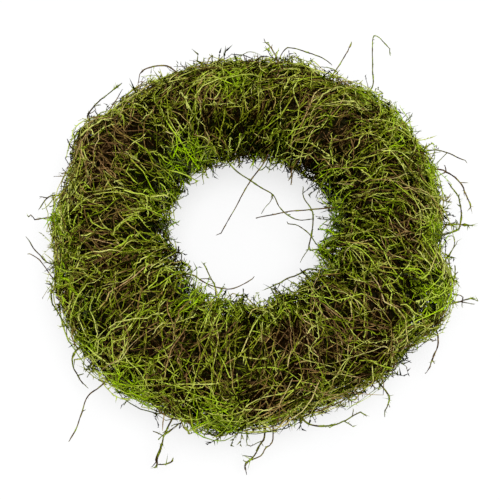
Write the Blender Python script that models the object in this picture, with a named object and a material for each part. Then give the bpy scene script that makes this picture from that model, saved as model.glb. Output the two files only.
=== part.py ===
"""Moss and vine wreath, 0.3 m across.

A bent vine hoop carries a spiral of binding wire.
Sixteen bunches of moss and vine strands close round them, and loose sprigs are poked into the bunches.
The wreath lies flat: the ring's axis is +Z and the floor is z = 0.
"""
import math
import random

import bmesh
import bpy
from mathutils import Vector

# Driving dimensions in metres and degrees
SEED = 41
RING_RADIUS = 0.1070
TUBE_HALF_WIDTH = 0.0457
TUBE_HALF_HEIGHT = 0.0347
FRONT_SWELL = 0.039
CENTRE_HEIGHT = 0.0345

HOOP_RADIUS = 0.0060
HOOP_SIDES = 6
HOOP_STEPS = 40
WIRE_RADIUS = 0.00045
WIRE_WIND_RADIUS = 0.0079
WIRE_TURNS = 12
WIRE_STEPS_PER_TURN = 6
CHANNEL_RADIUS = 0.0092

CORE_SCALE = 0.845
CORE_RIDGE = 0.085
CORE_BUMP = 0.030
CORE_ROWS = 12
CORE_STEPS = 6
CHANNEL_STEPS = 3
BUNCH_GAP = 0.0002
RAISED_BASE = 0.0014

STRAND_RADIUS = 0.0020
STRAND_TIP_RADIUS = 0.0006
WRAPS_PER_DEGREE = 0.27
LOOSE_ENDS_PER_DEGREE = 0.11
STRAND_STEPS = 6
SINK_SCALE = 0.77
FLOOR_CLEARANCE = 0.0004

SPRIG_ROOT_RADIUS = 0.00125
SPRIG_TIP_RADIUS = 0.00060
SPRIG_ROOT_DEPTH = 0.40
SPRIG_STEP = 0.0065
HOLE_CLEARANCE = 0.0003
SPRIG_CLEARANCE = 0.0012

# Ring angle where each bunch starts, and the colour of the bunch
BUNCHES = (
    (-8.0, "green moss"), (15.5, "green moss"), (37.0, "brown vine"), (60.0, "olive moss"),
    (86.5, "olive moss"), (105.0, "olive moss"), (128.0, "brown vine"), (153.0, "brown vine"),
    (172.5, "olive moss"), (198.0, "olive moss"), (222.0, "green moss"), (240.0, "green moss"),
    (264.0, "green moss"), (290.0, "olive moss"), (318.0, "brown vine"), (335.0, "olive moss"),
)
FEET = (3, 9, 14)

# Base colour and roughness of each material
COLOURS = {
    "green moss": ((0.150, 0.240, 0.030), 0.92),
    "olive moss": ((0.110, 0.130, 0.035), 0.92),
    "brown vine": ((0.160, 0.085, 0.040), 0.80),
    "hoop vine": ((0.130, 0.075, 0.040), 0.75),
    "dark wire": ((0.030, 0.045, 0.030), 0.40),
}

# Sprigs: colour, tip swelling, then (ring angle, ring radius, height) in degrees and millimetres.
# A second list of points is a fork.
SPRIGS = {
    "sprig_back_stick": ("brown vine", 1.9, [(63, 148, 42), (62, 160, 44), (62, 180, 45)]),
    "sprig_back_hook": ("green moss", 1.0, [(50, 151, 38), (54, 172, 37), (57, 186, 35), (59, 201, 34),
                                            (58.5, 204, 33), (57, 203, 32), (54, 201, 31)]),
    "sprig_back_spike": ("brown vine", 1.0, [(78, 143, 40), (82, 154, 42), (85, 163, 42)]),
    "sprig_back_arch": ("green moss", 1.0, [(82, 145, 44), (79, 155, 46), (77, 157, 48), (74, 158, 46),
                                            (68, 159, 43), (65, 158, 40)]),
    "sprig_left_tall": ("green moss", 1.6, [(148, 150, 36), (144, 158, 41), (141, 158, 46), (136, 157, 48),
                                            (131, 155, 52)]),
    "sprig_left_bent": ("brown vine", 1.5, [(111, 144, 40), (114, 150, 42), (117, 156, 44), (121, 161, 42),
                                            (123, 162, 38)]),
    "sprig_right_arch": ("green moss", 1.0, [(25, 150, 40), (24, 157, 45), (21, 167, 46), (20, 173, 44),
                                             (18, 179, 38)],
                         [(21, 166, 46), (21, 160, 43)]),
    "sprig_right_droop": ("brown vine", 1.0, [(20, 148, 34), (19, 155, 35), (17, 162, 34), (13, 170, 32),
                                              (10, 173, 28), (8, 175, 22)]),
    "sprig_right_loop": ("green moss", 1.2, [(-3, 149, 32), (-1, 157, 34), (0, 161, 38), (4, 163, 41),
                                             (7, 163, 43), (9, 160, 46), (12, 156, 48)]),
    "sprig_right_stub": ("green moss", 1.8, [(3, 147, 26), (2.5, 157, 26), (2, 171, 27)]),
    "sprig_right_fork": ("green moss", 1.0, [(-18, 148, 34), (-16, 157, 36), (-14, 160, 38), (-12, 160, 41)]),
    "sprig_right_twin": ("green moss", 1.0, [(-22, 150, 30), (-21, 160, 32), (-20, 168, 34), (-19, 173, 35)],
                         [(-21, 162, 33), (-19, 164, 38)]),
    "sprig_front_hang": ("brown vine", 1.0, [(-29, 152, 30), (-30, 160, 30), (-33, 166, 27), (-36, 168, 22),
                                             (-38, 170, 16)]),
    "sprig_front_curl": ("green moss", 1.0, [(-52, 150, 36), (-52, 158, 34), (-52, 165, 27), (-54, 169, 18)]),
    "sprig_front_arc": ("green moss", 1.0, [(-79, 149, 40), (-76, 157, 40), (-73, 161, 37), (-68, 163, 34),
                                            (-64, 164, 31), (-61, 163, 28)]),
    "sprig_front_squiggle": ("brown vine", 1.0, [(-83, 151, 26), (-84, 160, 25), (-86, 164, 22), (-87, 169, 20),
                                                 (-90, 172, 15), (-91, 175, 10)]),
    "sprig_front_spike": ("green moss", 1.0, [(-86, 152, 34), (-89, 162, 31), (-90, 171, 25)]),
    "sprig_front_pod": ("green moss", 2.0, [(-110, 149, 36), (-110, 158, 34), (-111, 165, 29), (-111, 172, 23),
                                            (-111, 180, 18), (-111, 187, 13)]),
    "sprig_front_long": ("brown vine", 1.4, [(-132, 149, 36), (-131, 160, 37), (-132, 172, 34), (-131, 183, 28),
                                             (-130, 194, 20), (-130, 202, 13)]),
    "sprig_left_vee": ("green moss", 1.0, [(-144, 149, 32), (-143, 159, 33), (-141, 166, 29), (-139, 168, 23),
                                           (-137, 169, 17)]),
    "sprig_left_high_arc": ("green moss", 1.0, [(-166, 147, 38), (-168, 154, 42), (-170, 160, 45),
                                                (-172, 164, 48), (-175, 166, 51)]),
    "sprig_left_low_arc": ("brown vine", 1.0, [(-158, 149, 28), (-161, 156, 29), (-166, 163, 30),
                                               (-170, 166, 31), (-173, 169, 32)]),
    "sprig_left_hook": ("brown vine", 1.0, [(177, 147, 36), (177, 154, 38), (178, 163, 38), (180, 169, 40),
                                            (182, 171, 44), (184, 169, 47)]),
    "sprig_left_frond": ("green moss", 1.0, [(168, 148, 34), (170, 156, 35), (172, 162, 34), (175, 165, 31)]),
    "sprig_hole_straight": ("brown vine", 1.0, [(75, 66, 42), (77, 54, 42), (86, 38, 41), (109, 22, 40),
                                                (149, 16, 38), (180, 18, 36)]),
    "sprig_hole_swoop": ("green moss", 1.0, [(110, 65, 34), (102, 52, 34), (87, 41, 34), (73, 36, 34),
                                             (57, 35, 33), (40, 31, 32), (23, 32, 31), (14, 35, 30)]),
    "sprig_hole_across": ("brown vine", 1.0, [(11, 67, 46), (11, 59, 48), (12, 46, 49), (16, 30, 49),
                                              (23, 19, 48), (44, 8, 46)]),
    "sprig_hole_fork": ("green moss", 1.0, [(-14, 66, 36), (-19, 55, 37), (-22, 49, 38), (-9, 48, 40),
                                            (9, 50, 40), (17, 50, 41), (28, 48, 42), (36, 52, 43)]),
    "sprig_hole_low": ("green moss", 1.0, [(-20, 66, 28), (-12, 55, 26), (-5, 47, 25), (3, 40, 24),
                                           (11, 35, 23)]),
    "sprig_hole_spur": ("brown vine", 1.4, [(55, 68, 46), (53, 57, 47), (49, 51, 46), (45, 46, 45)]),
    "sprig_hole_left_spur": ("green moss", 1.0, [(-106, 67, 42), (-117, 56, 42), (-126, 50, 41),
                                                 (-137, 46, 40)]),
    "sprig_hole_bow": ("brown vine", 1.0, [(-150, 66, 34), (-141, 57, 33), (-131, 54, 32), (-120, 52, 31),
                                           (-107, 49, 30), (-96, 43, 29), (-86, 38, 28)]),
    "sprig_hole_leafy": ("green moss", 1.0, [(-30, 67, 38), (-37, 58, 41), (-46, 54, 41), (-55, 51, 40),
                                             (-65, 50, 38), (-70, 50, 36)]),
}


def half_width(theta):
    """Half width of the moss ring at a ring angle: a little fuller at the front."""
    return TUBE_HALF_WIDTH * (1.0 - FRONT_SWELL * math.sin(theta))


def section_point(theta, phi, scale):
    """Ring radius and height at a section angle: 0 outside, 90 degrees on top."""
    radius = RING_RADIUS + scale * half_width(theta) * math.cos(phi)
    height = CENTRE_HEIGHT + scale * TUBE_HALF_HEIGHT * math.sin(phi)
    return radius, height


def ring_point(theta, radius, height):
    return Vector((radius * math.cos(theta), radius * math.sin(theta), height))


def smooth_path(points, step):
    """Even points along a Catmull-Rom curve through the given points."""
    ends = [points[0] * 2 - points[1]] + list(points) + [points[-1] * 2 - points[-2]]
    path = []
    for a, b, c, d in zip(ends, ends[1:], ends[2:], ends[3:]):
        count = max(1, round((c - b).length / step))
        for i in range(count):
            t = i / count
            path.append(0.5 * (2 * b + (c - a) * t + (2 * a - 5 * b + 4 * c - d) * t * t
                               + (3 * b - a - 3 * c + d) * t * t * t))
    path.append(points[-1].copy())
    return path


def path_frames(path, closed):
    """Two cross directions at each point of a path, carried along without twist."""
    count = len(path)
    tangents = []
    for i in range(count):
        before = path[i - 1] if (i > 0 or closed) else path[i]
        after = path[(i + 1) % count] if (i < count - 1 or closed) else path[i]
        tangents.append((after - before).normalized())
    side = tangents[0].cross(Vector((0.0, 0.0, 1.0)))
    if side.length < 0.1:
        side = tangents[0].cross(Vector((1.0, 0.0, 0.0)))
    frames = []
    for tangent in tangents:
        side = (side - tangent * side.dot(tangent)).normalized()
        frames.append((side, tangent.cross(side).normalized()))
    return frames


def tube_mesh(name, path, radii, sides, closed=False):
    """A closed tube of few sides along a path."""
    frames = path_frames(path, closed)
    bm = bmesh.new()
    rings = []
    for point, radius, (side, up) in zip(path, radii, frames):
        ring = []
        for j in range(sides):
            angle = 2.0 * math.pi * j / sides
            ring.append(bm.verts.new(point + radius * (math.cos(angle) * side + math.sin(angle) * up)))
        rings.append(ring)
    pairs = list(zip(rings, rings[1:]))
    if closed:
        pairs.append((rings[-1], rings[0]))
    for ring, following in pairs:
        for j in range(sides):
            k = (j + 1) % sides
            bm.faces.new((ring[j], ring[k], following[k], following[j]))
    if not closed:
        bm.faces.new(list(reversed(rings[0])))
        bm.faces.new(rings[-1])
    bmesh.ops.recalc_face_normals(bm, faces=bm.faces)
    mesh = bpy.data.meshes.new(name)
    bm.to_mesh(mesh)
    bm.free()
    return mesh


def add_object(name, mesh, material, collection=None):
    obj = bpy.data.objects.new(name, mesh)
    (collection or bpy.context.scene.collection).objects.link(obj)
    mesh.materials.append(material)
    return obj


def make_material(name, colour, roughness):
    material = bpy.data.materials.new(name)
    material.use_nodes = True
    shader = material.node_tree.nodes["Principled BSDF"]
    shader.inputs["Base Color"].default_value = (*colour, 1.0)
    shader.inputs["Roughness"].default_value = roughness
    shader.inputs["Metallic"].default_value = 0.6 if name == "dark wire" else 0.0
    material.diffuse_color = (*colour, 1.0)
    return material


def apply_boolean(obj, operation, shapes):
    """Join or cut an object with every shape in a collection, then remove the shapes."""
    modifier = obj.modifiers.new(operation.title(), "BOOLEAN")
    modifier.operation = operation
    modifier.operand_type = "COLLECTION"
    modifier.collection = shapes
    modifier.solver = "MANIFOLD"
    bpy.context.view_layer.update()
    joined = bpy.data.meshes.new_from_object(obj.evaluated_get(bpy.context.evaluated_depsgraph_get()))
    obj.modifiers.clear()
    obj.data = joined
    for shape in list(shapes.objects):
        bpy.data.objects.remove(shape, do_unlink=True)
    bpy.data.collections.remove(shapes)


def new_collection(name):
    shapes = bpy.data.collections.new(name)
    bpy.context.scene.collection.children.link(shapes)
    return shapes


def keep_largest_body(obj):
    """Drop loose scraps that a cut leaves beside the main body."""
    bm = bmesh.new()
    bm.from_mesh(obj.data)
    bm.verts.ensure_lookup_table()
    seen, bodies = set(), []
    for start in bm.verts:
        if start in seen:
            continue
        body, edge_of = [], [start]
        seen.add(start)
        while edge_of:
            vert = edge_of.pop()
            body.append(vert)
            for edge in vert.link_edges:
                other = edge.other_vert(vert)
                if other not in seen:
                    seen.add(other)
                    edge_of.append(other)
        bodies.append(body)
    bodies.sort(key=len)
    for body in bodies[:-1]:
        bmesh.ops.delete(bm, geom=body, context="VERTS")
    bm.to_mesh(obj.data)
    bm.free()


def bunch_edges(index):
    """Ring angles of the two flat end faces of a bunch at the middle of the ring."""
    start = math.radians(BUNCHES[index][0])
    end = math.radians(BUNCHES[(index + 1) % len(BUNCHES)][0])
    if end < start:
        end += 2.0 * math.pi
    return start, end


def end_gap(step, steps):
    """Distance that keeps the two end faces of a bunch clear of its neighbours."""
    return {0: BUNCH_GAP, steps: -BUNCH_GAP}.get(step, 0.0)


def core_mesh(index, rng):
    """The packed middle of a bunch: ridges of strands run across it, and a channel runs through it."""
    start, end = bunch_edges(index)
    base = 0.0 if index in FEET else RAISED_BASE
    phis = [math.radians(15.0 + 360.0 * j / CORE_ROWS) for j in range(CORE_ROWS)]
    skew = rng.choice((-1.0, 1.0)) * rng.uniform(0.25, 0.55) * (end - start) / CORE_STEPS
    bm = bmesh.new()
    outer_rings, inner_rings = [], []
    for i in range(CORE_STEPS + 1):
        ring = []
        inside = 0 < i < CORE_STEPS
        for j, phi in enumerate(phis):
            theta = start + (end - start) * i / CORE_STEPS + (skew * math.sin(phi) if inside else 0.0)
            ridge = CORE_RIDGE * (i % 2) + rng.uniform(-CORE_BUMP, CORE_BUMP)
            radius, height = section_point(theta, phi, CORE_SCALE + ridge)
            if j in (8, 9):
                radius, height = section_point(theta, phi, CORE_SCALE)[0], base
            ring.append(bm.verts.new(ring_point(theta + math.asin(end_gap(i, CORE_STEPS) / radius),
                                                radius, height)))
        outer_rings.append(ring)
    for i in range(CHANNEL_STEPS + 1):
        ring = []
        for phi in phis:
            radius = RING_RADIUS + CHANNEL_RADIUS * math.cos(phi)
            theta = start + (end - start) * i / CHANNEL_STEPS + math.asin(end_gap(i, CHANNEL_STEPS) / radius)
            ring.append(bm.verts.new(ring_point(theta, radius,
                                                CENTRE_HEIGHT + CHANNEL_RADIUS * math.sin(phi))))
        inner_rings.append(ring)
    for j in range(CORE_ROWS):
        k = (j + 1) % CORE_ROWS
        for rings in (outer_rings, inner_rings):
            for ring, following in zip(rings, rings[1:]):
                bm.faces.new((ring[j], ring[k], following[k], following[j]))
        for outer, inner in ((outer_rings[0], inner_rings[0]), (outer_rings[-1], inner_rings[-1])):
            bm.faces.new((outer[j], outer[k], inner[k], inner[j]))
    bmesh.ops.recalc_face_normals(bm, faces=bm.faces)
    mesh = bpy.data.meshes.new(f"bunch_{index + 1:02d}")
    bm.to_mesh(mesh)
    bm.free()
    return mesh


def strand_path(index, rng, loose):
    """One vine across the bunch: a wrap sinks at both ends, a loose end stands out at its tip."""
    start, end = bunch_edges(index)
    if loose:
        first = rng.uniform(-40.0, 190.0)
        last = first + rng.choice((-1.0, 1.0)) * rng.uniform(38.0, 60.0)
        crest = rng.uniform(1.05, 1.11)
    else:
        first = rng.choice((-52.0, -8.0, 40.0, 85.0, 130.0)) + rng.uniform(-16.0, 16.0)
        last = first + rng.uniform(75.0, 120.0)
        crest = rng.uniform(0.97, 1.04)
    across_first = rng.uniform(0.0, 1.0)
    across_last = min(1.0, max(0.0, across_first + rng.uniform(-0.7, 0.7)))
    wave = rng.uniform(-0.08, 0.08)
    margin = STRAND_RADIUS * 1.15 + BUNCH_GAP + 0.0003
    path = []
    for i in range(STRAND_STEPS + 1):
        t = i / STRAND_STEPS
        phi = math.radians(first + (last - first) * t)
        if loose:
            rise = min(1.0, t * 1.9)
        else:
            rise = min(1.0, 2.6 * min(t, 1.0 - t))
        scale = SINK_SCALE + (crest - SINK_SCALE) * rise
        across = across_first + (across_last - across_first) * t + wave * math.sin(2.0 * math.pi * t)
        across = min(1.0, max(0.0, across))
        radius, height = section_point(0.5 * (start + end), phi, scale)
        inset = math.asin(margin / radius)
        theta = start + inset + across * (end - start - 2.0 * inset)
        radius, height = section_point(theta, phi, scale)
        height = max(height, STRAND_RADIUS + FLOOR_CLEARANCE)
        path.append(ring_point(theta, radius, height))
    thick = STRAND_RADIUS * rng.uniform(0.7, 1.0)
    tip = STRAND_TIP_RADIUS if loose else thick
    radii = [thick + (tip - thick) * (i / STRAND_STEPS) ** 2 for i in range(STRAND_STEPS + 1)]
    return path, radii


def sprig_points(points):
    return [ring_point(math.radians(angle), radius / 1000.0, height / 1000.0) for angle, radius, height in points]


def sprig_path(points):
    """A sprig's middle line, with its root carried on into the bunch."""
    outside = sprig_points(points)
    theta = math.radians(points[0][0])
    middle = ring_point(theta, RING_RADIUS, CENTRE_HEIGHT)
    root = outside[0].lerp(middle, SPRIG_ROOT_DEPTH)
    return smooth_path([root] + outside, SPRIG_STEP)


def sprig_radii(path, swelling):
    count = len(path) - 1
    radii = [SPRIG_ROOT_RADIUS + (SPRIG_TIP_RADIUS - SPRIG_ROOT_RADIUS) * i / count for i in range(count + 1)]
    if swelling > 1.0:
        radii[-2] = SPRIG_TIP_RADIUS * swelling
    return radii


def add_sprig(name, colour, swelling, points, materials, fork=None):
    path = sprig_path(points)
    obj = add_object(name, tube_mesh(name, path, sprig_radii(path, swelling), 3), materials[colour])
    if fork:
        branch = smooth_path(sprig_points(fork), SPRIG_STEP)
        radii = [SPRIG_TIP_RADIUS * 1.15] * (len(branch) - 1) + [SPRIG_TIP_RADIUS]
        shapes = new_collection(name + "_fork")
        add_object(name + "_fork_part", tube_mesh(name + "_fork_part", branch, radii, 3),
                   materials[colour], shapes)
        apply_boolean(obj, "UNION", shapes)
        obj.data.name = name
    return path


def hole_tube(path):
    """The start of a sprig's path, made fatter by the clearance of its hole."""
    count = len(path) - 1
    reach = 5
    radii = [SPRIG_ROOT_RADIUS + (SPRIG_TIP_RADIUS - SPRIG_ROOT_RADIUS) * i / count + 2.0 * HOLE_CLEARANCE
             for i in range(reach)]
    part = path[:reach]
    return [part[0] - (part[1] - part[0]).normalized() * 2.0 * HOLE_CLEARANCE] + part[1:], radii


def distance_to_path(point, path):
    best = 1.0
    for a, b in zip(path, path[1:]):
        along = b - a
        t = min(1.0, max(0.0, (point - a).dot(along) / along.length_squared))
        best = min(best, (point - a - along * t).length)
    return best


def crosses_a_sprig(path, sprig_paths):
    """True where a strand would come too near any sprig."""
    reach = STRAND_RADIUS + SPRIG_ROOT_RADIUS + SPRIG_CLEARANCE
    for a, b in zip(path, path[1:]):
        for t in (0.0, 0.33, 0.67):
            point = a.lerp(b, t)
            for sprig in sprig_paths:
                if (point - sprig[1]).length < 0.2 and distance_to_path(point, sprig) < reach:
                    return True
    return False


def main():
    for obj in list(bpy.data.objects):
        bpy.data.objects.remove(obj, do_unlink=True)
    rng = random.Random(SEED)
    materials = {name: make_material(name, colour, roughness)
                 for name, (colour, roughness) in COLOURS.items()}

    # Hoop of bent vine
    path = [ring_point(2.0 * math.pi * i / HOOP_STEPS, RING_RADIUS, CENTRE_HEIGHT) for i in range(HOOP_STEPS)]
    add_object("hoop", tube_mesh("hoop", path, [HOOP_RADIUS] * HOOP_STEPS, HOOP_SIDES, closed=True),
               materials["hoop vine"])

    # Binding wire wound round the hoop, its two ends a little apart
    steps = WIRE_TURNS * WIRE_STEPS_PER_TURN
    path = []
    for i in range(steps):
        theta = 2.0 * math.pi * i / steps
        phi = 2.0 * math.pi * i / WIRE_STEPS_PER_TURN
        path.append(ring_point(theta, RING_RADIUS + WIRE_WIND_RADIUS * math.cos(phi),
                               CENTRE_HEIGHT + WIRE_WIND_RADIUS * math.sin(phi)))
    add_object("binding_wire", tube_mesh("binding_wire", path, [WIRE_RADIUS] * steps, 3),
               materials["dark wire"])

    # Sprigs
    sprig_paths = []
    for name, (colour, swelling, points, *fork) in SPRIGS.items():
        sprig_paths.append(add_sprig(name, colour, swelling, points, materials, fork[0] if fork else None))

    # Bunches, each with its strands joined on and its sprig holes cut
    for index, (_, colour) in enumerate(BUNCHES):
        name = f"bunch_{index + 1:02d}"
        obj = add_object(name, core_mesh(index, rng), materials[colour])
        strands = new_collection(name + "_strands")
        start, end = bunch_edges(index)
        for loose, per_degree in ((False, WRAPS_PER_DEGREE), (True, LOOSE_ENDS_PER_DEGREE)):
            wanted = round(math.degrees(end - start) * per_degree)
            made = 0
            for _ in range(wanted * 12):
                path, radii = strand_path(index, rng, loose)
                if made < wanted and not crosses_a_sprig(path, sprig_paths):
                    made += 1
                    add_object(f"{name}_strand", tube_mesh("strand", path, radii, 3), materials[colour], strands)
        apply_boolean(obj, "UNION", strands)

        holes = new_collection(name + "_holes")
        for path in sprig_paths:
            theta = math.atan2(path[0].y, path[0].x)
            if (theta - start) % (2.0 * math.pi) < end - start:
                points, radii = hole_tube(path)
                add_object(f"{name}_hole", tube_mesh("hole", points, radii, 3), materials[colour], holes)
        if holes.objects:
            apply_boolean(obj, "DIFFERENCE", holes)
        obj.data.name = name
        keep_largest_body(obj)


main()
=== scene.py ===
# %% [markdown]
# # Moss and vine wreath
#
# The real wreath is a vine hoop with bunches of mossed vine shoots bound round it. What the eye sees
# is a tangle: thousands of shoots 1 to 1.5 mm thick that cross the ring from its outer rim to its
# hole, furred with short moss leaves, over a dark packed middle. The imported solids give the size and
# place of everything. The cells below cover them with fine shoots made by Geometry Nodes, finer
# sprigs, a floor, soft light and the camera. Sizes are in metres and angles in radians, unless a
# name or a comment gives another unit.

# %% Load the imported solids
import math

import bpy
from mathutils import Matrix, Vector
from mathutils import noise as field


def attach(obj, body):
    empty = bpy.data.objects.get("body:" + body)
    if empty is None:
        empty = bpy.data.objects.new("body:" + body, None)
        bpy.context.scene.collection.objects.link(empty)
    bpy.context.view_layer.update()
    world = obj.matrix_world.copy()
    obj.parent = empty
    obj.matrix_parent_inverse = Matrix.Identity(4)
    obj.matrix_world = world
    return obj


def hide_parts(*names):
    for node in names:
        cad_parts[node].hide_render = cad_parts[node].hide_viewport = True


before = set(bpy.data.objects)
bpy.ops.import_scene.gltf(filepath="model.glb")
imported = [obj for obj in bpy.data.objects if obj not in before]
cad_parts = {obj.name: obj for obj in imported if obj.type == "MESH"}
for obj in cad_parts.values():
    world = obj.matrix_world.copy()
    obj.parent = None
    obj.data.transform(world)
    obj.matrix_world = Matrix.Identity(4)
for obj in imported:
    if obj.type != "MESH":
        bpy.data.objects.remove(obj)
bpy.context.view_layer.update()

# %% [markdown]
# ## Camera
#
# The ring lies flat and is seen from above, 22 degrees off its axis, from the side of its front rim.
# A lens of about 65 mm at 0.69 m gives the far side the same slight narrowing as in the photo.
# The camera looks a little below the ring's centre, because the wreath lies above the middle of the
# photo.

# %% Camera
CAMERA_DISTANCE = 0.690
CAMERA_TILT = math.radians(22.0)
CAMERA_LENS = 64.86
CENTRE_HEIGHT = 0.0345
RING_CENTRE = Vector((0.0, 0.0, CENTRE_HEIGHT))
PIXEL = 0.000766  # metres that one pixel of the photo covers at the ring
CENTRE_SHIFT_PX = (1.3, 21.0)


def in_scene(name, data):
    """A new object at the origin that shows some data."""
    item = bpy.data.objects.new(name, data)
    bpy.context.scene.collection.objects.link(item)
    return item


def point_along(item, direction):
    item.rotation_mode = "QUATERNION"
    item.rotation_quaternion = direction.to_track_quat("-Z", "Y")


eye = RING_CENTRE + CAMERA_DISTANCE * Vector((0.0, -math.sin(CAMERA_TILT), math.cos(CAMERA_TILT)))
picture_right = Vector((1.0, 0.0, 0.0))
picture_up = Vector((0.0, math.cos(CAMERA_TILT), math.sin(CAMERA_TILT)))
target = RING_CENTRE + picture_right * CENTRE_SHIFT_PX[0] * PIXEL - picture_up * CENTRE_SHIFT_PX[1] * PIXEL
camera_data = bpy.data.cameras.new("camera")
camera_data.lens = CAMERA_LENS
camera_data.clip_start = 0.01
camera = in_scene("camera", camera_data)
camera.location = eye
point_along(camera, target - eye)
bpy.context.scene.camera = camera
bpy.context.scene.view_settings.view_transform = "Standard"
print("camera at", [round(v, 3) for v in eye])

# %% [markdown]
# ## Writing node trees as sums
#
# A node tree is easier to read as an expression. The first class below wraps one socket, and each
# operator or method of sums on it adds the Math node that it stands for. Every other node comes from
# one method of the second class, which takes the node's type, its settings and its sockets' values.

# %% Sockets in sums
def connect(tree, value, socket):
    if isinstance(value, Value):
        tree.links.new(value.socket, socket)
    else:
        socket.default_value = value


def arithmetic(operation, reflected=False):
    """A method that adds one Math node, with its values swapped where Python reflects them."""

    def method(self, *others):
        node = self.tree.nodes.new("ShaderNodeMath")
        node.operation = operation
        for socket, value in zip(node.inputs, (*others, self) if reflected else (self, *others)):
            connect(self.tree, value, socket)
        return Value(self.tree, node.outputs[0])

    return method


class Value:
    """One socket of a tree, with the arithmetic that Math nodes do."""

    __add__ = __radd__ = arithmetic("ADD")
    __sub__, __rsub__ = arithmetic("SUBTRACT"), arithmetic("SUBTRACT", reflected=True)
    __mul__ = __rmul__ = arithmetic("MULTIPLY")
    __truediv__, __rtruediv__ = arithmetic("DIVIDE"), arithmetic("DIVIDE", reflected=True)
    __pow__ = arithmetic("POWER")
    __lt__, __gt__ = arithmetic("LESS_THAN"), arithmetic("GREATER_THAN")
    sin, cos, size = arithmetic("SINE"), arithmetic("COSINE"), arithmetic("ABSOLUTE")
    floor, ceiling, mod = arithmetic("FLOOR"), arithmetic("CEIL"), arithmetic("MODULO")
    at_least, at_most = arithmetic("MAXIMUM"), arithmetic("MINIMUM")

    def __init__(self, tree, socket):
        self.tree, self.socket = tree, socket

    def clamped(self):
        return self.at_least(0.0).at_most(1.0)


class Bench:
    """Adds nodes to one tree: settings first, then sockets by name."""

    def __init__(self, tree):
        self.tree = tree

    def socket(self, sockets, key):
        if isinstance(key, int):
            return sockets[key]
        return next(s for s in sockets if s.name == key and not s.is_unavailable)

    def node(self, kind, settings=None, sockets=None, output=0):
        node = self.tree.nodes.new(kind)
        for name, value in (settings or {}).items():
            setattr(node, name, value)
        for key, value in (sockets or {}).items():
            connect(self.tree, value, self.socket(node.inputs, key))
        if node.outputs:
            return Value(self.tree, self.socket(node.outputs, output))

    def also(self, value, output):
        """Another output of the node that a value came from."""
        return Value(self.tree, self.socket(value.socket.node.outputs, output))

    def vector(self, x, y, z):
        return self.node("ShaderNodeCombineXYZ", {}, {0: x, 1: y, 2: z})

    def parts(self, vector):
        x = self.node("ShaderNodeSeparateXYZ", {}, {0: vector})
        return x, self.also(x, "Y"), self.also(x, "Z")

    def vector_math(self, operation, a, b=None, output=0):
        sockets = {0: a} if b is None else {0: a, 1: b}
        return self.node("ShaderNodeVectorMath", {"operation": operation}, sockets, output)

    def scaled(self, vector, factor):
        return self.node("ShaderNodeVectorMath", {"operation": "SCALE"}, {"Vector": vector, "Scale": factor})

    def mix(self, factor, a, b):
        return self.node("ShaderNodeMix", {"data_type": "RGBA"}, {"Factor": factor, "A": a, "B": b}, "Result")


print("bench ready")

# %% [markdown]
# ## Where the moss is green, where bare vine shows and where shade is painted
#
# On a real wreath some bunches were laid with bare brown vine and others with fresh moss. Each patch below is
# a place on the ring: its ring angle in degrees, then its ring radius, height and reach in millimetres.
# Shoots near a brown patch lose their moss, and shoots near a fresh patch are a clearer green. Near a shaded
# patch the shoots are painted darker, as painted shade, most of all on the far wall of the hole.

# %% Patches of bare vine, of fresh moss and of painted shade
BROWN_PATCHES = (
    (155, 124, 67, 32), (146, 112, 69, 20), (167, 114, 68, 20), (64, 100, 68, 16), (111, 103, 69, 16),
    (43, 95, 68, 22), (41, 68, 48, 18), (-8, 113, 68, 16), (-73, 97, 68, 22), (-70, 128, 65, 26),
    (-84, 139, 59, 22), (-57, 123, 67, 18), (-46, 138, 63, 26), (-49, 89, 66, 22), (-119, 114, 67, 16),
    (-34, 112, 66, 18), (-165, 108, 66, 16),
)
FRESH_PATCHES = (
    (32, 144, 53, 26), (14, 146, 55, 26), (-5, 146, 55, 26), (-23, 145, 52, 24), (179, 146, 55, 20),
    (-163, 144, 55, 20), (130, 73, 54, 22), (-99, 147, 50, 26), (-124, 150, 42, 26), (-140, 144, 50, 14),
    (93, 116, 68, 26), (48, 138, 57, 22), (14, 68, 40, 18), (-128, 70, 53, 18), (-148, 135, 61, 20),
    (143, 79, 52, 20), (157, 76, 48, 18), (-26, 130, 60, 24), (5, 103, 67, 22), (26, 126, 63, 16),
    (130, 65, 34, 18), (-3, 66, 36, 20), (-20, 66, 38, 18), (-172, 66, 38, 20),
)
# Places where shade is painted on the shoots, most of all on the far wall of the hole.
SHADED_PATCHES = (
    (98, 75, 56, 26), (78, 72, 53, 26), (151, 76, 58, 20), (-178, 68, 49, 20), (48, 66, 40, 24),
    (112, 81, 61, 18), (-73, 97, 68, 16), (23, 68, 47, 18), (-10, 80, 52, 24), (-36, 84, 56, 20),
    (-89, 142, 60, 20), (-111, 106, 66, 18), (-66, 141, 60, 12), (82, 66, 32, 28), (44, 66, 28, 20),
    (158, 66, 38, 18),
)
MILLIMETRES = 1000.0


def ring_point(angle, radius, height):
    """A place from its ring angle in degrees and its ring radius and height in millimetres."""
    angle = math.radians(angle)
    return Vector((radius * math.cos(angle), radius * math.sin(angle), height)) / MILLIMETRES


def nearness(bench, place, patches):
    """How far a place is inside any of the patches: 0 outside, near 1 at a centre."""
    total = 0.0
    for angle, radius, height, reach in patches:
        away = bench.vector_math("DISTANCE", place, ring_point(angle, radius, height), "Value")
        total = (1.0 - away / (reach / MILLIMETRES)).at_least(0.0) + total
    return total.clamped()


print(len(BROWN_PATCHES), "brown,", len(FRESH_PATCHES), "fresh and", len(SHADED_PATCHES), "dark patches")

# %% [markdown]
# ## Moss and bark
#
# One material serves every shoot, because on the real thing moss thins out to bare bark along the
# same vine. The moss amount, the freshness and a random shade travel on the shoots as attributes,
# and noise in the object's own coordinates mottles them. Moss is rough all over, bark a little less.
# A highlight is painted at the leaf tips, and shade is painted on what lies deep in the tangle.

# %% Helpers for every material
WHITE = (1.0, 1.0, 1.0, 1.0)
BUMP_STRENGTH = 0.8


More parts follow.
